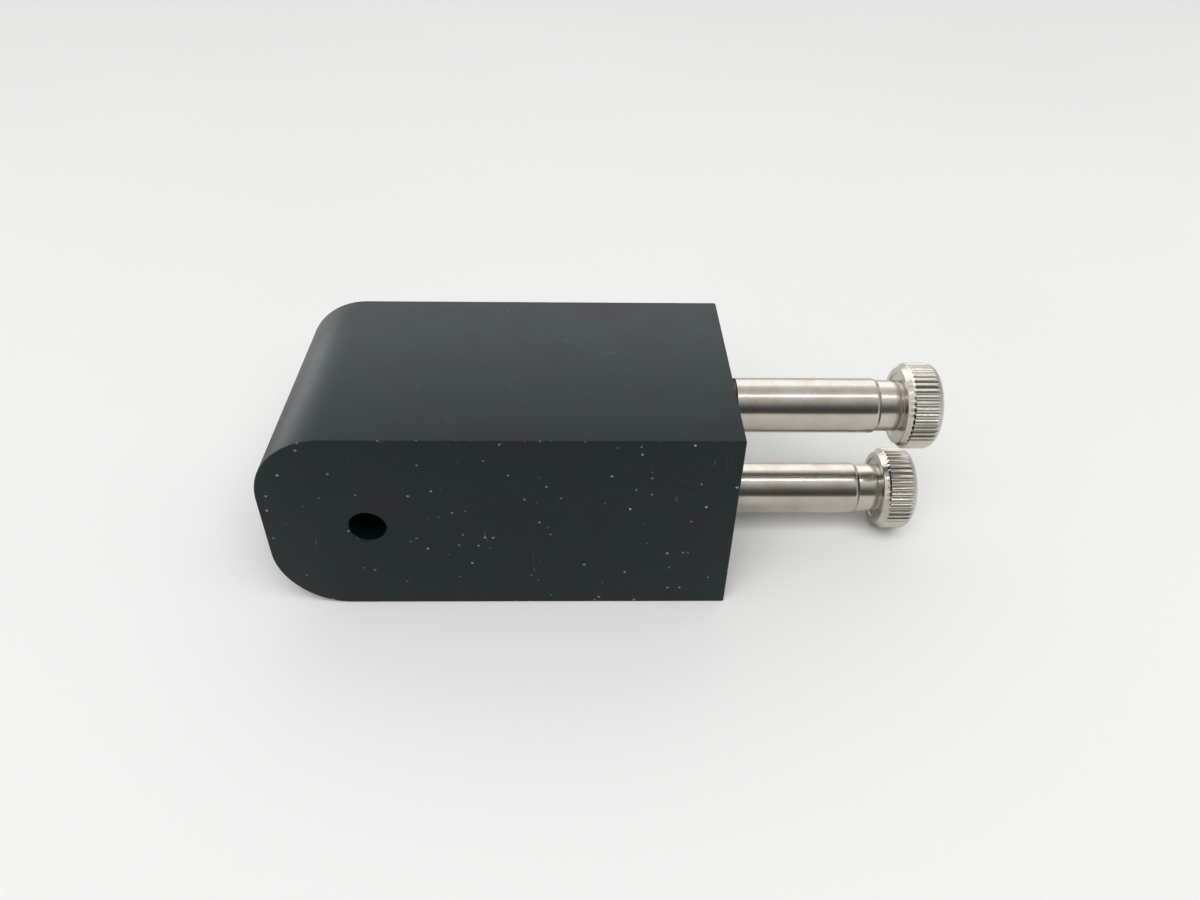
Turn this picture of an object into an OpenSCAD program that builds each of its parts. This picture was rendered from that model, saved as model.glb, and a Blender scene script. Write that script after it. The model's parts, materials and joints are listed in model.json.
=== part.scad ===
// Pivoting rod-end clamp block with two long knurled thumbscrews.
// A support rod goes into the socket in the underside and the two thumbscrews,
// one above the other, press soft pads against it. A pin goes through the cross
// bore at the rounded nose, so that an arm can swing on it.
// Origin: the middle of the pivot bore. +X runs towards the thumbscrews, +Y to
// the back and +Z up. All sizes are in millimetres.

/* [Body block] */
// Length from the nose to the flat end
body_l = 64; // [52:1:90]
// Depth from the front face to the back face
body_d = 35; // [26:1:50]
// Height from the underside to the top
body_h = 30; // [28:1:44]
// Radius of the two rounded nose edges
nose_r = 10; // [2:0.5:12]
// Width of the broken edges
edge_break = 0.3; // [0.1:0.05:0.8]

/* [Pivot bore] */
// Diameter of the cross bore for the pivot pin
pivot_d = 5; // [3:0.5:8]
// Distance from the nose to the pivot bore's axis
nose_to_pivot = 14; // [11:0.5:16]

/* [Rod socket] */
// Diameter of the support rod that goes into the socket
rod_d = 12.7; // [8:0.1:14]
// Play of the rod in its socket, on the diameter
rod_play = 0.3; // [0.1:0.05:0.4]
// Material left over the blind end of the socket
socket_roof = 3; // [2:0.5:4]
// Distance from the flat end to the socket's axis
end_to_socket = 24; // [22:0.5:26]

/* [Thumbscrews] */
// Height from one thumbscrew's axis to the other's
screw_spacing = 16; // [14.5:0.5:17]
// Nominal diameter of the screw thread
thread_d = 5; // [4:0.1:6]
// Thread pitch, the advance of one turn
thread_pitch = 0.8; // [0.5:0.05:1]
// Turns that drive the pad in, from the backed-off position shown
turns_in = 1.25; // [0.25:0.25:2]
// Turns that back the pad out, from there to the insert
turns_out = 6; // [2:0.5:6]
// Outer diameter of the spacer sleeve
sleeve_d = 8; // [7:0.1:9]
// Length of the spacer sleeve
sleeve_l = 20.8; // [8:0.2:40]

/* [Knurled knob] */
// Diameter of the knob's head over the knurl
head_d = 12.6; // [11:0.1:13.5]
// Length of the head
head_l = 5.5; // [5:0.1:8]
// Diameter of the hub between the sleeve and the head
hub_d = 7.5; // [6.5:0.1:7.6]
// Length of the hub
hub_l = 3.2; // [2:0.2:8]
// Number of knurl flutes round the head
flutes = 42; // [24:1:60]
// Depth of a flute
flute_depth = 0.3; // [0.1:0.05:0.4]

/* [Thread insert] */
// Outer diameter of the insert pressed into the flat end
insert_d = 9; // [8:0.5:10]

/* [Swivel pad] */
// Diameter of the pad that presses on the rod
pad_d = 6.4; // [5:0.1:7.5]
// Thickness of the pad
pad_t = 2.4; // [2.4:0.1:3]

/* [Hidden] */
$fn = 96;

thread_clear = 0.05;   // radial running clearance of the stud in its insert
pad_clear = 0.1;       // radial clearance of the pad in its recess
button_clear = 0.1;    // clearance round the stud's button inside the pad
stud_gap = 0.15;       // gap from the pad to the thicker part of the stud
pad_setback = 0.15;    // the pad's face stands this far behind the socket wall
pad_stop_gap = 0.15;   // left between pad and insert with the screw right out
sleeve_stop_gap = 0.1; // left between sleeve and flat end with the screw right in
bore_break = 0.3;      // countersink at the mouths of the pivot bore
socket_break = 0.6;    // countersink at the socket's mouth
over = 1;              // how far a cut runs past the face it starts from

nose_x = -nose_to_pivot;
end_x = body_l - nose_to_pivot;
half_d = body_d / 2;
half_h = body_h / 2;
socket_d = rod_d + rod_play;
socket_x = end_x - end_to_socket;
socket_wall_x = socket_x + socket_d / 2;
screw_z = screw_spacing / 2;

// The pad and, inside it, the button and neck at the stud's tip
pad_x = socket_wall_x + pad_setback;
pad_end_x = pad_x + pad_t;
pad_face_wall = 0.7;
pad_side_wall = 1.2;
pad_face_break = 0.4;
pad_back_break = 0.2;
button_t = 0.8;
button_d = pad_d - 2 * (pad_side_wall + button_clear);
button_step = 0.6;
neck_d = button_d - 2 * button_step;
button_x = pad_x + pad_face_wall + button_clear;
pad_lip_x = button_x + button_t + button_clear;
recess_d = pad_d + 2 * pad_clear;
stud_x = pad_end_x + stud_gap;
stud_tip_break = 0.5;

// The insert starts where the pad stops with the screw right out
insert_x = pad_end_x + turns_out * thread_pitch + pad_stop_gap;
insert_lead = 0.35;
insert_break = 0.2;
thread_bore_d = thread_d + 2 * thread_clear;

// The sleeve starts where it meets the flat end with the screw right in
sleeve_x = end_x + turns_in * thread_pitch + sleeve_stop_gap;
sleeve_break = 0.15;
seam_x = sleeve_x + sleeve_l;

// The knob
head_x = seam_x + hub_l;
knob_end_x = head_x + head_l;
neck_l = 0.2;          // the hub necks in just before the head
neck_h = 0.15;
dish_depth = 0.12;     // the head's back face is dished round the hub
dish_wall = 0.9;
rim_l = 0.75;          // a plain bevelled rim between the back face and the knurl
rim_drop = 0.1;        // the rim stands this far below the bottom of the flutes
rim_bevel = 0.35;
lip_l = 0.2;
head_round = 1.5;
crown = 0.25;
knob_wall = 2.3;       // left between the stud's blind hole and the knob's end
knob_hole_gap = 0.3;   // gap from the stud's end to the bottom of that hole
stud_end_x = knob_end_x - knob_wall - knob_hole_gap;

// A cylinder along +X from x0 to x1
module rod_x(x0, x1, d) {
    translate([x0, 0, 0]) rotate([0, 90, 0]) cylinder(h = x1 - x0, d = d);
}

// A profile of [x, radius] points turned about the X axis
module turned(points) {
    rotate([0, 90, 0]) rotate_extrude() polygon([for (p = points) [p[1], p[0]]]);
}

// Places a screw's pieces on the upper (+1) or the lower (-1) axis
module on_axis(side) {
    translate([0, 0, side * screw_z]) children();
}

// ---- Body block ----

// A nose column: a cylinder along Y with both its end edges broken
module nose_column(side) {
    translate([nose_x + nose_r, 0, side * (half_h - nose_r)]) rotate([90, 0, 0])
        rotate_extrude() polygon([
            [0, -half_d],
            [nose_r - edge_break, -half_d],
            [nose_r, -half_d + edge_break],
            [nose_r, half_d - edge_break],
            [nose_r - edge_break, half_d],
            [0, half_d]
        ]);
}

// A rectangle centred on the origin, with its corners broken
module broken_rectangle(w, h) {
    polygon([
        [-w / 2 + edge_break, -h / 2], [w / 2 - edge_break, -h / 2],
        [w / 2, -h / 2 + edge_break], [w / 2, h / 2 - edge_break],
        [w / 2 - edge_break, h / 2], [-w / 2 + edge_break, h / 2],
        [-w / 2, h / 2 - edge_break], [-w / 2, -h / 2 + edge_break]
    ]);
}

// The outside of the block: rounded nose, flat end, every edge broken
module block_outside() {
    middle_x = (nose_x + end_x) / 2;
    intersection() {
        union() {
            translate([nose_x + nose_r, -half_d, -half_h])
                cube([body_l - nose_r, body_d, body_h]);
            translate([nose_x, -half_d, -half_h + nose_r])
                cube([body_l, body_d, body_h - 2 * nose_r]);
            for (side = [-1, 1]) nose_column(side);
        }
        // broken edges between the front and back faces and the top and underside
        translate([nose_x - over, 0, 0]) rotate([90, 0, 90])
            linear_extrude(body_l + 2 * over) broken_rectangle(body_d, body_h);
        // broken upright edges
        translate([middle_x, 0, -half_h - over])
            linear_extrude(body_h + 2 * over) broken_rectangle(body_l, body_d);
        // broken top and bottom edges of the flat end, past the nose on the left
        translate([middle_x - nose_r, half_d + over, 0]) rotate([90, 0, 0])
            linear_extrude(body_d + 2 * over)
                broken_rectangle(body_l + 2 * nose_r, body_h);
    }
}

// The cross bore for the pivot pin, with a countersink at each mouth
module pivot_bore() {
    r = pivot_d / 2;
    rotate([90, 0, 0]) rotate_extrude() polygon([
        [0, -half_d - over],
        [r + bore_break + over, -half_d - over],
        [r, -half_d + bore_break],
        [r, half_d - bore_break],
        [r + bore_break + over, half_d + over],
        [0, half_d + over]
    ]);
}

// The blind socket for the support rod, open in the underside
module rod_socket() {
    r = socket_d / 2;
    translate([socket_x, 0, 0]) rotate_extrude() polygon([
        [0, -half_h - over],
        [r + socket_break + over, -half_h - over],
        [r, -half_h + socket_break],
        [r, half_h - socket_roof],
        [0, half_h - socket_roof]
    ]);
}

// The seat for a thread insert and, behind it, the recess that the pad slides in
module screw_passage() {
    rod_x(insert_x, end_x + over, insert_d);
    rod_x(socket_x, insert_x + over, recess_d);
}

module body_block() {
    color([0.10, 0.11, 0.11]) difference() {
        block_outside();
        pivot_bore();
        rod_socket();
        for (side = [-1, 1]) on_axis(side) screw_passage();
    }
}

// ---- One thumbscrew, on the X axis ----

// The threaded bush pressed into the flat end, flush with it
module insert_piece() {
    r = insert_d / 2;
    b = thread_bore_d / 2;
    color([0.72, 0.71, 0.68]) turned([
        [insert_x, b + insert_lead], [insert_x, r - insert_lead],
        [insert_x + insert_lead, r], [end_x - insert_break, r],
        [end_x, r - insert_break], [end_x, b + insert_lead],
        [end_x - insert_lead, b], [insert_x + insert_lead, b]
    ]);
}

// The pad: a closed face towards the rod and a lip that holds the stud's button
module pad_piece() {
    r = pad_d / 2;
    inner = button_d / 2 + button_clear;
    mouth = neck_d / 2 + button_clear;
    color([0.76, 0.62, 0.30]) turned([
        [pad_x, 0], [pad_x, r - pad_face_break], [pad_x + pad_face_break, r],
        [pad_end_x - pad_back_break, r], [pad_end_x, r - pad_back_break],
        [pad_end_x, mouth], [pad_lip_x, mouth], [pad_lip_x, inner],
        [pad_x + pad_face_wall, inner], [pad_x + pad_face_wall, 0]
    ]);
}

// The threaded stud, with the button at its tip that the pad swivels on
module stud_piece() {
    r = thread_d / 2;
    color([0.66, 0.66, 0.64]) turned([
        [button_x, 0], [button_x, button_d / 2],
        [button_x + button_t, button_d / 2], [button_x + button_t, neck_d / 2],
        [stud_x, neck_d / 2], [stud_x, r - stud_tip_break],
        [stud_x + stud_tip_break, r], [stud_end_x, r], [stud_end_x, 0]
    ]);
}

// The spacer sleeve, pushed onto the stud up to the knob's hub
module sleeve_piece() {
    r = sleeve_d / 2;
    b = thread_d / 2;
    color([0.74, 0.73, 0.70]) turned([
        [sleeve_x, b], [sleeve_x, r - sleeve_break], [sleeve_x + sleeve_break, r],
        [seam_x - sleeve_break, r], [seam_x, r - sleeve_break], [seam_x, b]
    ]);
}

// The knob before it is knurled: hub, dished back face, rim, rounded front edge
module knob_blank() {
    r = head_d / 2;
    rim_r = r - flute_depth - rim_drop;
    dish_r = rim_r - rim_bevel - dish_wall;
    hub_r = hub_d / 2;
    bore_r = thread_d / 2;
    hole_x = stud_end_x + knob_hole_gap;
    front = [for (a = [0:15:90])
        [knob_end_x - crown - head_round + head_round * sin(a),
         r - head_round + head_round * cos(a)]];
    turned(concat(
        [[seam_x, bore_r], [seam_x, hub_r - sleeve_break], [seam_x + sleeve_break, hub_r],
         [head_x - neck_l, hub_r], [head_x - neck_l, hub_r - neck_h],
         [head_x + dish_depth, hub_r - neck_h], [head_x + dish_depth, dish_r],
         [head_x, dish_r], [head_x, rim_r - rim_bevel],
         [head_x + rim_l, rim_r], [head_x + rim_l + lip_l, r]],
        front,
        [[knob_end_x, 0], [hole_x, 0], [hole_x, bore_r]]
    ));
}

// The knurled knob: straight V flutes round the head
module knob_piece() {
    side = flute_depth * sqrt(2) + over;
    color([0.78, 0.77, 0.74]) difference() {
        knob_blank();
        for (i = [0:flutes - 1]) rotate([i * 360 / flutes, 0, 0])
            translate([head_x - over, 0, head_d / 2 - flute_depth]) rotate([45, 0, 0])
                cube([head_l + 2 * over, side, side]);
    }
}

module upper_insert() { on_axis(1) insert_piece(); }
module upper_pad() { on_axis(1) pad_piece(); }
module upper_stud() { on_axis(1) stud_piece(); }
module upper_sleeve() { on_axis(1) sleeve_piece(); }
module upper_knob() { on_axis(1) knob_piece(); }
module lower_insert() { on_axis(-1) insert_piece(); }
module lower_pad() { on_axis(-1) pad_piece(); }
module lower_stud() { on_axis(-1) stud_piece(); }
module lower_sleeve() { on_axis(-1) sleeve_piece(); }
module lower_knob() { on_axis(-1) knob_piece(); }

body_block();
upper_insert();
upper_pad();
upper_stud();
upper_sleeve();
upper_knob();
lower_insert();
lower_pad();
lower_stud();
lower_sleeve();
lower_knob();
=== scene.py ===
"""The looks of the rod-end clamp block: black anodised block, turned and knurled steel thumbscrews."""

import json
import math

import bmesh
import bpy
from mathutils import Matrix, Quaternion, Vector


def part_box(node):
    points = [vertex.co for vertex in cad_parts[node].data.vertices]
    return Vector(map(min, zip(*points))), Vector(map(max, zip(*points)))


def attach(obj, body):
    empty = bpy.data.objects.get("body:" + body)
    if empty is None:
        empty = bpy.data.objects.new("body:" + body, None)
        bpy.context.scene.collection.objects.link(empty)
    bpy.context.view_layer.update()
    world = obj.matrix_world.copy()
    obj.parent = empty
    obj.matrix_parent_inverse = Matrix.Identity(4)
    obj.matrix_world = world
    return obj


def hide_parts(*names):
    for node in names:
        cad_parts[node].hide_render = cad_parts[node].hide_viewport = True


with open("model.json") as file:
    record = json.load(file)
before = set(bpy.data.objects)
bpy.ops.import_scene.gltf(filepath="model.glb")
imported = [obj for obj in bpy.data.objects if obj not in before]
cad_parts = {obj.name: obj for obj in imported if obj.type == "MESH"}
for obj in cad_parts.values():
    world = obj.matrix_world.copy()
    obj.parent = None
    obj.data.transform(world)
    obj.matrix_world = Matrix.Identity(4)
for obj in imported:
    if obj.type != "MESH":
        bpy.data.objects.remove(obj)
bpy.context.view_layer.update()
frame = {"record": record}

MM = 0.001
SIDES = ("upper", "lower")
MOUNTS = {m["name"]: m for m in frame["record"]["mounts"]}

# Meshes
ON_AXIS = 1e-9
SIDE_SHARE = 0.4

# Block
BLOCK_LOW, BLOCK_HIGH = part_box("body_block")
NOSE_RADIUS = 10 * MM
NOSE_STEPS = 24
EDGE_BREAK = 0.3 * MM
EDGE_SEGMENTS = 3
EDGE_ANGLE = 40
PIVOT_RADIUS = MOUNTS["pivot_bore"]["dims"]["r_mm"] * MM
PIVOT_BREAK = 0.25 * MM
SOCKET_RADIUS = MOUNTS["rod_socket"]["dims"]["r_mm"] * MM
SOCKET_X = MOUNTS["rod_socket"]["pos_m"][0]
SOCKET_ROOF = 3 * MM
SOCKET_BREAK = 0.6 * MM
SEAT_BREAK = 0.15 * MM
PAD_PLAY = 0.1 * MM
CUT_PAST = 1 * MM

# Thumbscrews
ROUND_STEPS = 128
SEAM = 0.02 * MM
SOFTENING = 0.08 * MM
SLEEVE_EDGE = 0.15 * MM
SLEEVE_TAPER = 0.5 * MM
TAPER_SOFTENING = 0.4 * MM
TAPER_STEPS = 6
STUD_STEPS = 72
STUD_CLEARANCE = 0.05 * MM
STUD_NECK_RADIUS = 1.3 * MM
BUTTON_RADIUS = 1.9 * MM
BUTTON_LENGTH = 0.8 * MM
BUTTON_PLAY = 0.15 * MM
TIP_BREAK = 0.5 * MM
THREAD_PITCH = 0.8 * MM
THREAD_DEPTH = 0.45 * MM
THREAD_FLANK = 1.25
THREAD_SAMPLES = 14
THREAD_RUN_OUT = 1.2 * MM
THREAD_IN_SLEEVE = 1.5 * MM
INSERT_CHAMFER = 0.35 * MM
INSERT_BREAK = 0.2 * MM
INSERT_SOFTENING = 0.06 * MM
PAD_STEPS = 96
PAD_MOUTH_RADIUS = 1.4 * MM
PAD_INNER_RADIUS = 2.0 * MM
PAD_WALL = 0.7 * MM
PAD_EASE = 0.4 * MM
PAD_BREAK = 0.2 * MM
HUB_LENGTH = 3.2 * MM
HUB_RADIUS = 3.75 * MM
NECK_LENGTH = 0.2 * MM
NECK_DEPTH = 0.15 * MM
DISH_DEPTH = 0.12 * MM
DISH_WALL = 0.9 * MM
RIM_LENGTH = 0.75 * MM
RIM_BEVEL = 0.35 * MM
RIM_DROP = 0.4 * MM
LIP_LENGTH = 0.2 * MM
HEAD_ROUND = 1.5 * MM
HEAD_CROWN = 0.25 * MM
HEAD_STEPS = 16
LAND_STEPS = 6
FACE_STEPS = 8
KNOB_WALL = 2.3 * MM
FLUTES = 42
FLUTE_DEPTH = 0.26 * MM
FLUTE_SAMPLES = 12
FLUTE_POWER = 1.7
JOIN_DISTANCE = 0.004 * MM

# Steels: colour, colour of the film, roughness, and mm across a tool line
SLEEVE_STEEL = ("#c9c5be", "#bdb6aa", 0.19, 0.12)
KNOB_STEEL = ("#d0cdc7", "#c4beb2", 0.22, 0.16)
THREAD_STEEL = ("#b9b5ad", "#a29a8c", 0.30, 0.2)

# Studio
FLOOR_HALF = 3.0
FLOOR_GAP = 0.02 * MM
ROOM_SHOWN = 0.62
ROOM_LOST_ON_MATT = 0.45
CAMERA_PLACE = (28.4 * MM, -107.9 * MM, 86.9 * MM)
CAMERA_HEADING = math.radians(1.85)
CAMERA_DOWN = math.radians(39.0)
CAMERA_ROLL = math.radians(1.27)
CAMERA_LENS = 27.49
CAMERA_SENSOR = 36.0


# ---- Small helpers for meshes ----

def object_from(name, bm):
    """A scene object at the origin, made from a bmesh whose place is in its vertices."""
    mesh = bpy.data.meshes.new(name)
    bm.to_mesh(mesh)
    bm.free()
    obj = bpy.data.objects.new(name, mesh)
    bpy.context.scene.collection.objects.link(obj)
    return obj


def applied(obj):
    """Turns an object's modifiers into plain mesh."""
    graph = bpy.context.evaluated_depsgraph_get()
    mesh = bpy.data.meshes.new_from_object(obj.evaluated_get(graph))
    obj.modifiers.clear()
    obj.data = mesh
    return obj


def smooth(obj, angle=28):
    """Smooth shading, with the edges sharper than the angle kept crisp."""
    obj.data.shade_smooth()
    obj.data.set_sharp_from_angle(angle=math.radians(angle))
    return obj


def arc(centre, radius, start, end, steps):
    """Points on an arc in a plane, angles in degrees."""
    angles = [math.radians(start + (end - start) * i / steps) for i in range(steps + 1)]
    return [(centre[0] + radius * math.cos(a), centre[1] + radius * math.sin(a)) for a in angles]


def softened(corners, radius, steps=3):
    """Rounds each corner of an open outline, by the radius or as much as its sides allow."""
    points = [corners[0]]
    for before, corner, after in zip(corners, corners[1:], corners[2:]):
        here = Vector(corner)
        back, on = Vector(before) - here, Vector(after) - here
        reach = min(radius, SIDE_SHARE * back.length, SIDE_SHARE * on.length)
        first, last = here + back.normalized() * reach, here + on.normalized() * reach
        for i in range(steps + 1):
            t = i / steps
            points.append(tuple(first * (1 - t) ** 2 + here * 2 * t * (1 - t) + last * t ** 2))
    return points + [corners[-1]]


def turned(name, outline, axis_z=0.0, steps=ROUND_STEPS, closed=True, radius_at=None):
    """Turns an outline of (x, radius) points about a line along X. A closed outline makes a ring, and
    an open one starts and ends on the axis. radius_at(x, radius, angle) may cut a thread."""
    bm = bmesh.new()
    rings = []
    for x, r in outline:
        if r < ON_AXIS:
            rings.append([bm.verts.new((x, 0, axis_z))])
            continue
        ring = []
        for i in range(steps):
            a = math.tau * i / steps
            cut = radius_at(x, r, a) if radius_at else r
            ring.append(bm.verts.new((x, cut * math.cos(a), axis_z + cut * math.sin(a))))
        rings.append(ring)
    pairs = list(zip(rings, rings[1:]))
    if closed:
        pairs.append((rings[-1], rings[0]))
    for one, two in pairs:
        for i in range(steps):
            j = (i + 1) % steps
            corners = [one[i % len(one)], one[j % len(one)], two[j % len(two)], two[i % len(two)]]
            bm.faces.new(dict.fromkeys(corners))
    bmesh.ops.recalc_face_normals(bm, faces=bm.faces)
    return object_from(name, bm)


# ---- Materials ----

def linear(hex_colour):
    """An sRGB hex colour as the linear colour that a shader takes."""
    channels = [int(hex_colour[i:i + 2], 16) / 255 for i in (1, 3, 5)]
    return [c / 12.92 if c <= 0.04045 else ((c + 0.055) / 1.055) ** 2.4 for c in channels] + [1.0]


def add(tree, kind, settings=None, inputs=None):
    """Adds a node, with its settings, and with its inputs set to a value or linked to a socket."""
    made = tree.nodes.new(kind)
    for name, value in (settings or {}).items():
        setattr(made, name, value)
    for key, value in (inputs or {}).items():
        if isinstance(value, bpy.types.NodeSocket):
            tree.links.new(value, made.inputs[key])
        else:
            made.inputs[key].default_value = value
    return made


def new_material(name):
    """An empty node material with its output, and its node tree."""
    material = bpy.data.materials.new(name)
    material.use_nodes = True
    material.node_tree.nodes.clear()
    return material, material.node_tree


def finish_material(tree, shader):
    add(tree, "ShaderNodeOutputMaterial", inputs={"Surface": shader.outputs[0]})


def ramp(tree, factor, stops):
    """A colour ramp on a factor: stops are (position, colour)."""
    made = add(tree, "ShaderNodeValToRGB", inputs={"Fac": factor})
    points = made.color_ramp.elements
    while len(points) < len(stops):
        points.new(0.5)
    for point, (position, colour) in zip(points, stops):
        point.position = position
        point.color = colour
    return made.outputs["Color"]


def grey(level):
    return (level, level, level, 1.0)


def black_anodised():
    """Bead-blasted aluminium, dyed black and sealed: a satin black with a fine grain that lifts to grey
    at a shallow angle. The dye leans to green and to violet in patches, and handling has left dust,
    hairline marks and small pale nicked spots along the edges. The same pale spots round the bore's
    mouths are a painted glint."""
    material, tree = new_material("black_anodised_aluminium")
    coords = add(tree, "ShaderNodeTexCoord").outputs
    place = coords["Object"]
    # uneven dye, in patches about 6 mm across
    patches = add(tree, "ShaderNodeTexNoise", inputs={
        "Vector": place, "Scale": 1 / (6 * MM), "Detail": 5.0, "Roughness": 0.65}).outputs["Fac"]
    dye = ramp(tree, patches, [
        (0.38, linear("#0f2625")), (0.5, linear("#172527")), (0.63, linear("#1f2028"))])
    # dust: some of the 2 mm cells of a pattern, mirrored front to back, hold a ragged speck, up to
    # 0.5 mm across, that shows where the surface meets it; the top has been wiped
    ragged = add(tree, "ShaderNodeTexNoise", inputs={
        "Vector": place, "Scale": 1 / (0.3 * MM), "Detail": 2.0}).outputs["Color"]
    swapped = add(tree, "ShaderNodeMapping", inputs={
        "Vector": place, "Scale": (1.0, -1.0, 1.0)}).outputs[0]
    shifted = add(tree, "ShaderNodeVectorMath", {"operation": "MULTIPLY_ADD"}, {
        0: ragged, 1: (0.3 * MM,) * 3, 2: swapped}).outputs[0]
    cells = add(tree, "ShaderNodeTexVoronoi", {"feature": "F1"}, {
        "Vector": shifted, "Scale": 1 / (2.0 * MM), "Randomness": 1.0})
    speck = ramp(tree, cells.outputs["Distance"], [(0.05, grey(1.0)), (0.12, grey(0.0))])
    chosen = ramp(tree, cells.outputs["Color"], [(0.52, grey(0.0)), (0.85, grey(0.5))])
    dust = add(tree, "ShaderNodeMath", {"operation": "MULTIPLY"}, {0: speck, 1: chosen}).outputs[0]
    facing = add(tree, "ShaderNodeSeparateXYZ", inputs={0: coords["Normal"]}).outputs["Z"]
    wiped = ramp(tree, facing, [(0.3, grey(1.0)), (0.9, grey(0.15))])
    dust = add(tree, "ShaderNodeMath", {"operation": "MULTIPLY"}, {0: dust, 1: wiped}).outputs[0]
    # hairline marks: thin bands of a stretched noise, broken up by a second one
    stretched = add(tree, "ShaderNodeMapping", inputs={
        "Vector": place, "Rotation": (0.5, 1.1, 0.2), "Scale": (1.0, 1.0, 0.3)}).outputs[0]
    lines = add(tree, "ShaderNodeTexNoise", inputs={
        "Vector": stretched, "Scale": 1 / (3 * MM), "Detail": 1.0}).outputs["Fac"]
    thin = ramp(tree, lines, [(0.495, grey(0.0)), (0.5, grey(1.0)), (0.505, grey(0.0))])
    where = add(tree, "ShaderNodeTexNoise", inputs={
        "Vector": place, "Scale": 1 / (7 * MM), "Detail": 2.0}).outputs["Fac"]
    few = ramp(tree, where, [(0.67, grey(0.0)), (0.75, grey(0.2))])
    marks = add(tree, "ShaderNodeMath", {"operation": "MULTIPLY"}, {0: thin, 1: few}).outputs[0]
    # pale nicked spots where the edges of the front and the back are broken, which is wear, and the
    # same pale spots round the bore's mouths, which are a painted glint: a band that starts where the
    # break does and stops just short of the flat face
    parts = add(tree, "ShaderNodeSeparateXYZ", inputs={0: place})
    depth = add(tree, "ShaderNodeMath", {"operation": "ABSOLUTE"}, {0: parts.outputs["Y"]}).outputs[0]
    share = add(tree, "ShaderNodeMath", {"operation": "DIVIDE"}, {0: depth, 1: BLOCK_HIGH.y}).outputs[0]
    inner = 1 - EDGE_BREAK / BLOCK_HIGH.y
    edge = ramp(tree, share, [
        (inner - 0.002, grey(0.0)), (inner + 0.004, grey(1.0)),
        (0.996, grey(1.0)), (0.9995, grey(0.0))])
    chip_and_glint_noise = add(tree, "ShaderNodeTexNoise", inputs={
        "Vector": place, "Scale": 1 / (0.9 * MM), "Detail": 3.0}).outputs["Fac"]
    chip_and_glint_spots = ramp(tree, chip_and_glint_noise, [(0.63, grey(0.0)), (0.72, grey(0.35))])
    nicks_and_glint = add(tree, "ShaderNodeMath", {"operation": "MULTIPLY"}, {0: edge, 1: chip_and_glint_spots}).outputs[0]
    # the pale colour is dust, hairline marks and edge wear, plus a painted glint at the bore's mouths
    wear_and_glint = add(tree, "ShaderNodeMath", {"operation": "MAXIMUM"}, {0: dust, 1: marks}).outputs[0]
    wear_and_glint = add(tree, "ShaderNodeMath", {"operation": "MAXIMUM"}, {0: wear_and_glint, 1: nicks_and_glint}).outputs[0]
    colour = add(tree, "ShaderNodeMix", {"data_type": "RGBA"}, {
        0: wear_and_glint, 6: dye, 7: linear("#dbe2dd")}).outputs[2]
    # blasted grain, drawn at 0.2 mm so that it shows
    grain = add(tree, "ShaderNodeTexNoise", inputs={
        "Vector": place, "Scale": 1 / (0.2 * MM), "Detail": 2.0}).outputs["Fac"]
    satin = ramp(tree, patches, [(0.3, grey(0.42)), (0.7, grey(0.46))])
    bump = add(tree, "ShaderNodeBump", inputs={
        "Height": grain, "Strength": 0.25, "Distance": 0.03 * MM}).outputs["Normal"]
    shader = add(tree, "ShaderNodeBsdfPrincipled", inputs={
        "Base Color": colour, "Roughness": satin, "IOR": 1.58, "Normal": bump})
    finish_material(tree, shader)
    return material


def turned_stainless(name, axis_z, base, stain, roughness, lines_mm):
    """Stainless steel from the lathe: warm grey metal with fine tool lines round the axis and across the
    faces, and a faint tea-coloured film in patches."""
    material, tree = new_material(name)
    place = add(tree, "ShaderNodeTexCoord").outputs["Object"]
    centred = add(tree, "ShaderNodeMapping", inputs={
        "Vector": place, "Location": (0, 0, -axis_z)}).outputs[0]
    parts = add(tree, "ShaderNodeSeparateXYZ", inputs={0: centred})
    across = add(tree, "ShaderNodeCombineXYZ", inputs={
        "Y": parts.outputs["Y"], "Z": parts.outputs["Z"]}).outputs[0]
    out = add(tree, "ShaderNodeVectorMath", {"operation": "LENGTH"}, {0: across}).outputs["Value"]
    # the same tool lines run round the barrel, by X, and on the faces, by the distance from the axis
    along = add(tree, "ShaderNodeCombineXYZ", inputs={"X": parts.outputs["X"], "Y": out}).outputs[0]
    lines = add(tree, "ShaderNodeTexNoise", inputs={
        "Vector": along, "Scale": 1 / (lines_mm * MM), "Detail": 2.0}).outputs["Fac"]
    # film, in patches about 4 mm across
    patches = add(tree, "ShaderNodeTexNoise", inputs={
        "Vector": place, "Scale": 1 / (4 * MM), "Detail": 4.0, "Roughness": 0.6}).outputs["Fac"]
    film = ramp(tree, patches, [(0.42, grey(0.0)), (0.75, grey(1.0))])
    colour = add(tree, "ShaderNodeMix", {"data_type": "RGBA"}, {
        0: film, 6: linear(base), 7: linear(stain)}).outputs[2]
    dull = ramp(tree, patches, [(0.3, grey(roughness)), (0.75, grey(roughness + 0.02))])
    # an even fine grain over the lines, drawn at 0.1 mm so that it shows
    grain = add(tree, "ShaderNodeTexNoise", inputs={
        "Vector": place, "Scale": 1 / (0.1 * MM), "Detail": 1.0}).outputs["Fac"]
    ridges = add(tree, "ShaderNodeBump", inputs={
        "Height": lines, "Strength": 0.1, "Distance": 0.006 * MM}).outputs["Normal"]
    bump = add(tree, "ShaderNodeBump", inputs={
        "Height": grain, "Strength": 0.15, "Distance": 0.005 * MM, "Normal": ridges}).outputs["Normal"]
    shader = add(tree, "ShaderNodeBsdfPrincipled", inputs={
        "Base Color": colour, "Metallic": 1.0, "Roughness": dull, "Normal": bump})
    finish_material(tree, shader)
    return material


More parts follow.
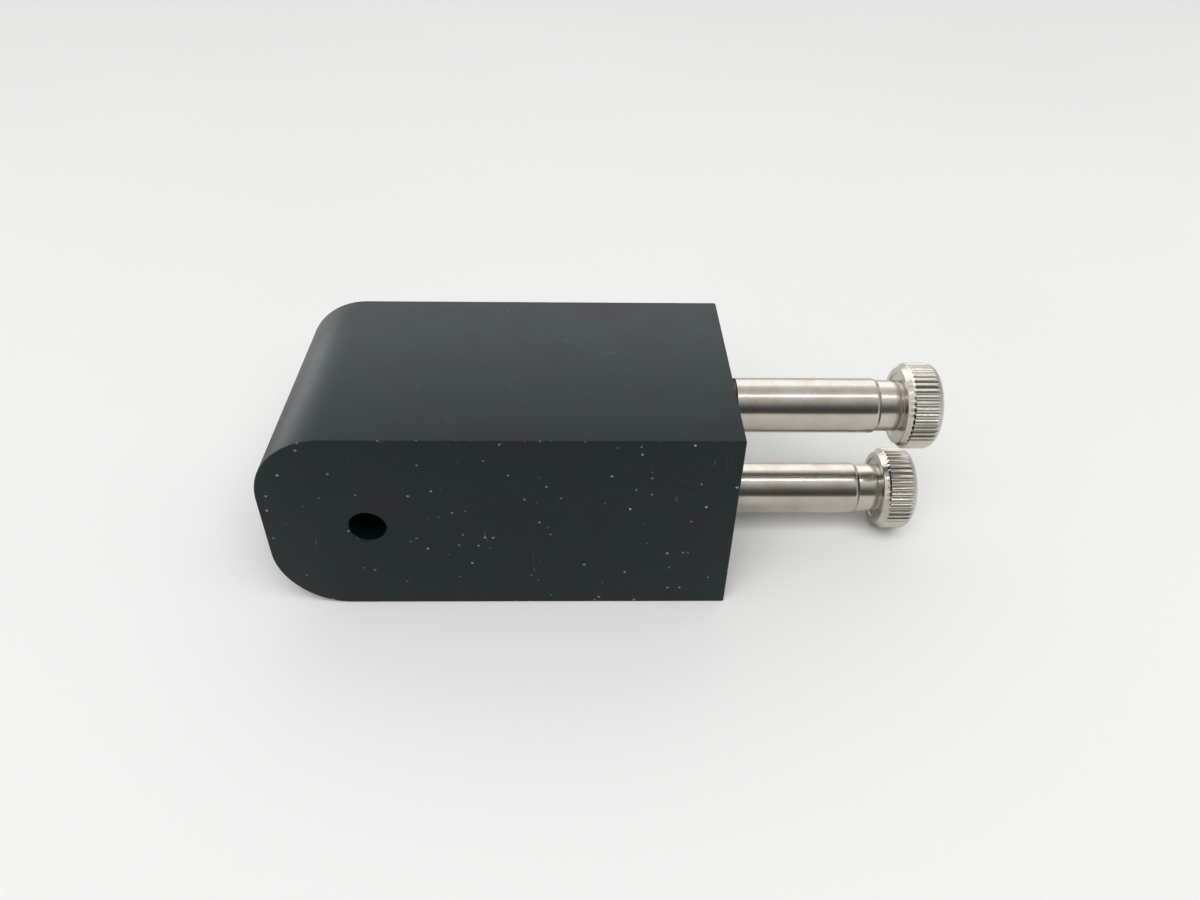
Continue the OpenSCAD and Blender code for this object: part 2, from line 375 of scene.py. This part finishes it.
def turned_brass():
    """Turned brass, dulled: a soft yellow metal with a faint brown film."""
    material, tree = new_material("turned_brass")
    place = add(tree, "ShaderNodeTexCoord").outputs["Object"]
    patches = add(tree, "ShaderNodeTexNoise", inputs={
        "Vector": place, "Scale": 1 / (1.5 * MM), "Detail": 3.0}).outputs["Fac"]
    colour = ramp(tree, patches, [(0.35, linear("#c9a55c")), (0.7, linear("#a98443"))])
    shader = add(tree, "ShaderNodeBsdfPrincipled", inputs={
        "Base Color": colour, "Metallic": 1.0, "Roughness": 0.34})
    finish_material(tree, shader)
    return material


def pale_table():
    """A matt white laminate table top."""
    material, tree = new_material("white_laminate")
    place = add(tree, "ShaderNodeTexCoord").outputs["Object"]
    clouds = add(tree, "ShaderNodeTexNoise", inputs={"Vector": place, "Scale": 6.0}).outputs["Fac"]
    colour = ramp(tree, clouds, [(0.3, linear("#eeeeed")), (0.7, linear("#f0f0ef"))])
    shader = add(tree, "ShaderNodeBsdfPrincipled", inputs={
        "Base Color": colour, "Roughness": 1.0, "IOR": 1.2})
    finish_material(tree, shader)
    return material


# ---- Geometry Nodes: one flute, repeated round the head ----

def repeat_round_tree():
    """A node tree that repeats a sector round a line along X and joins the copies into one surface."""
    tree = bpy.data.node_groups.new("repeat_round", "GeometryNodeTree")
    face = tree.interface
    face.new_socket("Geometry", in_out="INPUT", socket_type="NodeSocketGeometry")
    face.new_socket("Count", in_out="INPUT", socket_type="NodeSocketInt")
    face.new_socket("Axis Height", in_out="INPUT", socket_type="NodeSocketFloat")
    face.new_socket("Join Distance", in_out="INPUT", socket_type="NodeSocketFloat")
    face.new_socket("Material", in_out="INPUT", socket_type="NodeSocketMaterial")
    face.new_socket("Geometry", in_out="OUTPUT", socket_type="NodeSocketGeometry")
    given = add(tree, "NodeGroupInput").outputs
    points = add(tree, "GeometryNodePoints", inputs={"Count": given["Count"]})
    step = add(tree, "ShaderNodeMath", {"operation": "DIVIDE"}, {0: math.tau, 1: given["Count"]})
    index = add(tree, "GeometryNodeInputIndex")
    angle = add(tree, "ShaderNodeMath", {"operation": "MULTIPLY"}, {
        0: index.outputs[0], 1: step.outputs[0]})
    euler = add(tree, "ShaderNodeCombineXYZ", inputs={"X": angle.outputs[0]})
    turn = add(tree, "FunctionNodeEulerToRotation", inputs={0: euler.outputs[0]})
    copies = add(tree, "GeometryNodeInstanceOnPoints", inputs={
        "Points": points.outputs[0], "Instance": given["Geometry"], "Rotation": turn.outputs[0]})
    real = add(tree, "GeometryNodeRealizeInstances", inputs={"Geometry": copies.outputs[0]})
    joined = add(tree, "GeometryNodeMergeByDistance", inputs={
        "Geometry": real.outputs[0], "Distance": given["Join Distance"]})
    lift = add(tree, "ShaderNodeCombineXYZ", inputs={"Z": given["Axis Height"]})
    placed = add(tree, "GeometryNodeTransform", inputs={
        "Geometry": joined.outputs[0], "Translation": lift.outputs[0]})
    coloured = add(tree, "GeometryNodeSetMaterial", inputs={
        "Geometry": placed.outputs[0], "Material": given["Material"]})
    add(tree, "NodeGroupOutput", inputs={0: coloured.outputs[0]})
    return tree


def repeated_round(seed, tree, values):
    """Runs the tree on a seed object and turns it into plain mesh."""
    modifier = seed.modifiers.new("repeat", "NODES")
    modifier.node_group = tree
    for item in tree.interface.items_tree:
        if item.in_out == "INPUT" and item.name in values:
            modifier[item.identifier] = values[item.name]
    return applied(seed)


# ---- The block ----

def block_outline():
    """The block's side view, as (x, z) points: two nose arcs and the square flat end."""
    low, high = BLOCK_LOW, BLOCK_HIGH
    nose_x = low.x + NOSE_RADIUS
    upper_arc = arc((nose_x, high.z - NOSE_RADIUS), NOSE_RADIUS, 90, 180, NOSE_STEPS)
    lower_arc = arc((nose_x, low.z + NOSE_RADIUS), NOSE_RADIUS, 180, 270, NOSE_STEPS)
    return [(high.x, low.z), (high.x, high.z)] + upper_arc + lower_arc


def block_solid():
    """The outline drawn out from the front face to the back one, with its sharp edges broken."""
    bm = bmesh.new()
    outline = block_outline()
    rims = [[bm.verts.new((x, y, z)) for x, z in outline] for y in (BLOCK_LOW.y, BLOCK_HIGH.y)]
    for rim in rims:
        bm.faces.new(rim)
    for i in range(len(outline)):
        j = (i + 1) % len(outline)
        bm.faces.new((rims[0][i], rims[0][j], rims[1][j], rims[1][i]))
    bmesh.ops.recalc_face_normals(bm, faces=bm.faces)
    block = object_from("block", bm)
    bevel = block.modifiers.new("broken_edges", "BEVEL")
    bevel.width = EDGE_BREAK
    bevel.segments = EDGE_SEGMENTS
    bevel.angle_limit = math.radians(EDGE_ANGLE)
    return applied(block)


def pivot_cutter():
    """The cross bore, with a countersink at each mouth, turned about X and then laid along Y."""
    r, reach = PIVOT_RADIUS, BLOCK_HIGH.y
    wide = r + PIVOT_BREAK + CUT_PAST
    outline = [
        (-reach - CUT_PAST, 0), (-reach - CUT_PAST, wide), (-reach + PIVOT_BREAK, r),
        (reach - PIVOT_BREAK, r), (reach + CUT_PAST, wide), (reach + CUT_PAST, 0)]
    cutter = turned("pivot_cutter", outline, closed=False)
    for v in cutter.data.vertices:
        v.co = Vector((-v.co.y, v.co.x, v.co.z))
    return cutter


def socket_cutter():
    """The blind rod socket with its countersunk mouth, turned about X and then stood along Z."""
    r, foot, roof = SOCKET_RADIUS, BLOCK_LOW.z, BLOCK_HIGH.z - SOCKET_ROOF
    outline = [
        (foot - CUT_PAST, 0), (foot - CUT_PAST, r + SOCKET_BREAK + CUT_PAST),
        (foot + SOCKET_BREAK, r), (roof, r), (roof, 0)]
    cutter = turned("socket_cutter", outline, closed=False)
    for v in cutter.data.vertices:
        v.co = Vector((SOCKET_X - v.co.z, v.co.y, v.co.x))
    return cutter


def passage_cutter(side):
    """The seat of a thread insert and the recess that the pad slides in, behind it."""
    low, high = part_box(f"{side}_insert")
    pad_low, pad_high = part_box(f"{side}_pad")
    seat = (high.z - low.z) / 2
    recess = (pad_high.z - pad_low.z) / 2 + PAD_PLAY
    outline = [
        (SOCKET_X, 0), (SOCKET_X, recess), (low.x, recess), (low.x, seat),
        (high.x - SEAT_BREAK, seat), (high.x + CUT_PAST, seat + SEAT_BREAK + CUT_PAST),
        (high.x + CUT_PAST, 0)]
    return turned(f"{side}_passage_cutter", outline, (low.z + high.z) / 2, closed=False)


def make_block(material):
    """The block: its solid less the cross bore, the rod socket and the two passages of the screws."""
    block = block_solid()
    cutters = [pivot_cutter(), socket_cutter()] + [passage_cutter(side) for side in SIDES]
    for cutter in cutters:
        cut = block.modifiers.new("cut", "BOOLEAN")
        cut.operation = "DIFFERENCE"
        cut.solver = "EXACT"
        cut.object = cutter
    applied(block)
    for cutter in cutters:
        bpy.data.objects.remove(cutter)
    smooth(block, angle=20)
    block.data.materials.clear()
    block.data.materials.append(material)
    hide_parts("body_block")
    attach(block, "block")


# ---- One thumbscrew ----

def middle_z(node):
    low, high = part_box(node)
    return (low.z + high.z) / 2


def outer_radius(node):
    low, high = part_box(node)
    return (high.y - low.y) / 2


def place_piece(piece, material, node, body):
    """Gives a finished piece its material, hides the part node that it stands for, and hangs it on the
    body that it rides on.
    """
    piece.data.materials.clear()
    piece.data.materials.append(material)
    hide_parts(node)
    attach(piece, body)


def make_sleeve(side, material):
    """The spacer tube: a small eased edge at the block, and a slight taper down to the hub."""
    node = f"{side}_sleeve"
    low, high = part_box(node)
    r, bore = outer_radius(node), outer_radius(f"{side}_stud")
    meeting = (high.x - 2 * SLEEVE_TAPER, r)
    start = softened([
        (low.x, bore), (low.x, r - SLEEVE_EDGE), (low.x + SLEEVE_EDGE, r), meeting], SOFTENING)
    end = softened([
        meeting, (high.x - SLEEVE_TAPER, r), (high.x - SEAM, HUB_RADIUS + SEAM / 2),
        (high.x, HUB_RADIUS - SEAM), (high.x, bore)], TAPER_SOFTENING, TAPER_STEPS)
    piece = smooth(turned(f"{side}_spacer_sleeve", start + end[1:], middle_z(node)))
    place_piece(piece, material, node, f"{side}_screw")


def thread_radius(start_x):
    """The radius at each point of the thread: a right-hand V that runs out towards the tip."""
    def radius_at(x, r, angle):
        turn = (x - start_x) / THREAD_PITCH - angle / math.tau
        valley = abs(turn - math.floor(turn) - 0.5) * 2
        cut = THREAD_DEPTH * max(0.0, 1 - THREAD_FLANK * valley)
        run_in = min(1.0, max(0.0, (x - start_x) / THREAD_RUN_OUT))
        return r - cut * run_in
    return radius_at


def make_stud(side, material):
    """The threaded stud: button, neck, and a thread that ends just inside the sleeve."""
    node = f"{side}_stud"
    low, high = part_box(node)
    r = outer_radius(node)
    neck_x = low.x + BUTTON_LENGTH
    body_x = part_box(f"{side}_pad")[1].x + BUTTON_PLAY
    thread_x = body_x + TIP_BREAK
    thread_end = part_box(f"{side}_sleeve")[0].x + THREAD_IN_SLEEVE
    step = THREAD_PITCH / THREAD_SAMPLES
    count = int((thread_end - body_x - TIP_BREAK) / step)
    start = [
        (low.x, 0), (low.x, BUTTON_RADIUS), (neck_x, BUTTON_RADIUS), (neck_x, STUD_NECK_RADIUS),
        (body_x, STUD_NECK_RADIUS), (body_x, r - TIP_BREAK)]
    thread = [(thread_x + i * step, r) for i in range(count + 1)]
    end = [(thread_end, r), (high.x, r), (high.x, 0)]
    thread_at = thread_radius(thread_x)

    def radius_at(x, radius, angle):
        return thread_at(x, radius, angle) if thread_x <= x < thread_end else radius

    piece = turned(
        f"{side}_threaded_stud", start + thread + end, middle_z(node), STUD_STEPS, False, radius_at)
    smooth(piece, angle=40)
    place_piece(piece, material, node, f"{side}_screw")


def make_insert(side, material):
    """The thread insert in the flat end: a ring with a plain bore, chamfered at both mouths."""
    node = f"{side}_insert"
    low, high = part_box(node)
    r, bore = outer_radius(node), outer_radius(f"{side}_stud") + STUD_CLEARANCE
    ring = softened([
        (low.x + INSERT_CHAMFER, bore), (low.x, bore + INSERT_CHAMFER), (low.x, r - INSERT_CHAMFER),
        (low.x + INSERT_CHAMFER, r), (high.x - INSERT_BREAK, r), (high.x, r - INSERT_BREAK),
        (high.x, bore + INSERT_CHAMFER), (high.x - INSERT_CHAMFER, bore)], INSERT_SOFTENING)
    piece = smooth(turned(f"{side}_thread_insert", ring, middle_z(node)))
    place_piece(piece, material, node, "block")


def make_pad(side, material):
    """The swivel pad: a cap with a flat face and an eased edge, closed over the stud's button."""
    node = f"{side}_pad"
    low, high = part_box(node)
    r = outer_radius(node)
    floor_x, roof_x = low.x + PAD_WALL, high.x - PAD_WALL
    outline = softened([
        (low.x, 0), (low.x, r - PAD_EASE), (low.x + PAD_EASE, r), (high.x - PAD_BREAK, r),
        (high.x, r - PAD_BREAK), (high.x, PAD_MOUTH_RADIUS), (roof_x, PAD_MOUTH_RADIUS),
        (roof_x, PAD_INNER_RADIUS), (floor_x, PAD_INNER_RADIUS), (floor_x, 0)], SOFTENING)
    piece = smooth(turned(f"{side}_swivel_pad", outline, middle_z(node), PAD_STEPS, closed=False))
    place_piece(piece, material, node, f"{side}_tip")


def knob_outline(side):
    """Half the knob's section: blind hole, hub, neck, dished back face, plain bevelled rim, the start of
    the knurl, its rounded front edge and the crowned face."""
    low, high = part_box(f"{side}_knob")
    r, bore = outer_radius(f"{side}_knob"), outer_radius(f"{side}_stud")
    head_x = low.x + HUB_LENGTH
    rim_x, rim_r = head_x + RIM_LENGTH, r - RIM_DROP
    neck_x, neck_r = head_x - NECK_LENGTH, HUB_RADIUS - NECK_DEPTH
    dish_r = rim_r - RIM_BEVEL - DISH_WALL
    back = softened([
        (high.x - KNOB_WALL, 0), (high.x - KNOB_WALL, bore), (low.x, bore), (low.x, HUB_RADIUS - SEAM),
        (low.x + SEAM, HUB_RADIUS), (neck_x, HUB_RADIUS), (neck_x, neck_r),
        (head_x + DISH_DEPTH, neck_r), (head_x + DISH_DEPTH, dish_r), (head_x, dish_r + SEAM),
        (head_x, rim_r - RIM_BEVEL), (rim_x, rim_r)], SOFTENING)
    lip = softened([(rim_x, rim_r), (rim_x + LIP_LENGTH, r), (rim_x + 3 * LIP_LENGTH, r)], SOFTENING)
    front = [(x, y) for y, x in arc(
        (r - HEAD_ROUND, high.x - HEAD_CROWN - HEAD_ROUND), HEAD_ROUND, 0, 90, HEAD_STEPS)]
    first = lip[-1][0]
    land = [(first + (front[0][0] - first) * i / LAND_STEPS, r) for i in range(1, LAND_STEPS)]
    face = [
        (high.x - HEAD_CROWN * (k / FACE_STEPS) ** 2, (r - HEAD_ROUND) * k / FACE_STEPS)
        for k in range(FACE_STEPS - 1, -1, -1)]
    return back[:-1] + lip + land + front + face


def knob_sector(side):
    """One flute's share of the knob: its section swept through a pitch, held under a rounded lobe."""
    r = outer_radius(f"{side}_knob")
    outline = knob_outline(side)
    pitch = math.tau / FLUTES
    bm = bmesh.new()
    columns = []
    for i in range(FLUTE_SAMPLES + 1):
        across = abs(2 * i / FLUTE_SAMPLES - 1)
        limit = r - FLUTE_DEPTH * across ** FLUTE_POWER
        angle = pitch * (i / FLUTE_SAMPLES - 0.5)
        column = []
        for x, radius in outline:
            cut = min(radius, limit)
            column.append(bm.verts.new((x, cut * math.sin(angle), cut * math.cos(angle))))
        columns.append(column)
    for one, two in zip(columns, columns[1:]):
        for k in range(len(outline) - 1):
            bm.faces.new((one[k], one[k + 1], two[k + 1], two[k]))
    return object_from(f"{side}_knurled_knob", bm)


def make_knob(side, tree, material):
    """The knurled knob: its sector repeated round the screw's axis."""
    node = f"{side}_knob"
    piece = repeated_round(knob_sector(side), tree, {
        "Count": FLUTES, "Axis Height": middle_z(node), "Join Distance": JOIN_DISTANCE,
        "Material": material})
    bm = bmesh.new()
    bm.from_mesh(piece.data)
    bmesh.ops.recalc_face_normals(bm, faces=bm.faces)
    bm.to_mesh(piece.data)
    bm.free()
    smooth(piece, angle=35)
    place_piece(piece, material, node, f"{side}_screw")


# ---- The studio ----

def make_floor():
    """The table top, a hair below the block's underside."""
    bm = bmesh.new()
    top = BLOCK_LOW.z - FLOOR_GAP
    corners = [(-1, -1), (1, -1), (1, 1), (-1, 1)]
    bm.faces.new([bm.verts.new((x * FLOOR_HALF, y * FLOOR_HALF, top)) for x, y in corners])
    floor = object_from("table_top", bm)
    floor.data.materials.append(pale_table())


def area_light(name, place, size, energy):
    """A rectangular soft light that faces the origin."""
    lamp = bpy.data.lights.new(name, "AREA")
    lamp.shape = "RECTANGLE"
    lamp.size, lamp.size_y = size
    lamp.energy = energy
    light = bpy.data.objects.new(name, lamp)
    bpy.context.scene.collection.objects.link(light)
    light.location = place
    light.rotation_euler = (-Vector(place)).to_track_quat("-Z", "Y").to_euler()
    return light


def make_room():
    """The room around the table, by the angle from the front horizon, over the ceiling, to the back one:
    dim straight in front, brighter overhead and behind. The left wall is brighter than the right one.
    Matt surfaces get about half of it all, and the camera sees it as one plain grey."""
    world = bpy.data.worlds.new("room")
    bpy.context.scene.world = world
    world.use_nodes = True
    tree = world.node_tree
    tree.nodes.clear()
    way = add(tree, "ShaderNodeTexCoord").outputs["Generated"]
    parts = add(tree, "ShaderNodeSeparateXYZ", inputs={0: way})
    front = add(tree, "ShaderNodeMath", {"operation": "MULTIPLY"}, {0: parts.outputs["Y"], 1: -1.0})
    angle = add(tree, "ShaderNodeMath", {"operation": "ARCTAN2"}, {
        0: parts.outputs["Z"], 1: front.outputs[0]})
    share = add(tree, "ShaderNodeMath", {"operation": "DIVIDE"}, {0: angle.outputs[0], 1: math.pi})
    levels = [(0.0, 0.10), (0.10, 0.10), (0.17, 0.18), (0.26, 0.42), (0.36, 0.66), (0.46, 0.64),
              (0.57, 0.55), (0.69, 0.8), (0.85, 0.7), (1.0, 0.5)]
    middle = ramp(tree, share.outputs[0], [(place, grey(level)) for place, level in levels])
    across = add(tree, "ShaderNodeMath", {"operation": "MULTIPLY_ADD"}, {
        0: parts.outputs["X"], 1: 0.5, 2: 0.5}).outputs[0]
    sides = ramp(tree, across, [
        (0.18, grey(1.0)), (0.30, grey(0.0)), (0.72, grey(0.0)), (0.84, grey(1.0))])
    walls = ramp(tree, across, [(0.2, grey(0.8)), (0.8, grey(0.5))])
    room = add(tree, "ShaderNodeMix", {"data_type": "RGBA"}, {0: sides, 6: middle, 7: walls}).outputs[2]
    path = add(tree, "ShaderNodeLightPath").outputs
    strength = add(tree, "ShaderNodeMath", {"operation": "MULTIPLY_ADD"}, {
        0: path["Is Diffuse Ray"], 1: -ROOM_LOST_ON_MATT, 2: 1.0})
    lit = add(tree, "ShaderNodeBackground", inputs={"Color": room, "Strength": strength.outputs[0]})
    plain = add(tree, "ShaderNodeBackground", inputs={"Color": grey(ROOM_SHOWN), "Strength": 1.0})
    both = add(tree, "ShaderNodeMixShader", inputs={
        0: path["Is Camera Ray"], 1: lit.outputs[0], 2: plain.outputs[0]})
    add(tree, "ShaderNodeOutputWorld", inputs={"Surface": both.outputs[0]})


def make_lights():
    """A long narrow ceiling light in front of the block, two windows behind it that leave matt surfaces
    unlit, a soft fill from the front that shows in no reflection, and the room. The view is set to a
    high contrast."""
    area_light("ceiling_light", (0.05, -0.55, 2.0), (3.0, 0.08), 3.8)
    sheen = area_light("window", (-0.4, 1.6, 1.2), (3.4, 1.8), 8.5)
    sheen.visible_diffuse = False
    glow = area_light("side_window", (-1.5, 1.3, 0.25), (1.2, 0.7), 4.0)
    glow.visible_diffuse = False
    fill = area_light("front_fill", (0.1, -1.2, 1.7), (2.4, 1.4), 21.5)
    fill.visible_glossy = False
    make_room()
    view = bpy.context.scene.view_settings
    view.view_transform = "Standard"
    view.look = "High Contrast"


def make_camera():
    """Stands in front of the block and a little to the right, looking down at it."""
    camera = bpy.data.cameras.new("camera")
    camera.lens = CAMERA_LENS
    camera.sensor_width = CAMERA_SENSOR
    camera.clip_start = 0.01
    view = bpy.data.objects.new("camera", camera)
    bpy.context.scene.collection.objects.link(view)
    view.location = CAMERA_PLACE
    level = math.cos(CAMERA_DOWN)
    ahead = Vector((
        math.sin(CAMERA_HEADING) * level, math.cos(CAMERA_HEADING) * level, -math.sin(CAMERA_DOWN)))
    view.rotation_mode = "QUATERNION"
    view.rotation_quaternion = ahead.to_track_quat("-Z", "Y") @ Quaternion((0, 0, 1), CAMERA_ROLL)
    bpy.context.scene.camera = view


make_camera()
make_floor()
make_lights()

make_block(black_anodised())
brass = turned_brass()
knurl = repeat_round_tree()
for side in SIDES:
    axis_z = middle_z(f"{side}_sleeve")
    make_sleeve(side, turned_stainless(f"{side}_turned_stainless", axis_z, *SLEEVE_STEEL))
    make_knob(side, knurl, turned_stainless(f"{side}_knurled_stainless", axis_z, *KNOB_STEEL))
    threaded = turned_stainless(f"{side}_threaded_stainless", axis_z, *THREAD_STEEL)
    make_stud(side, threaded)
    make_insert(side, threaded)
    make_pad(side, brass)
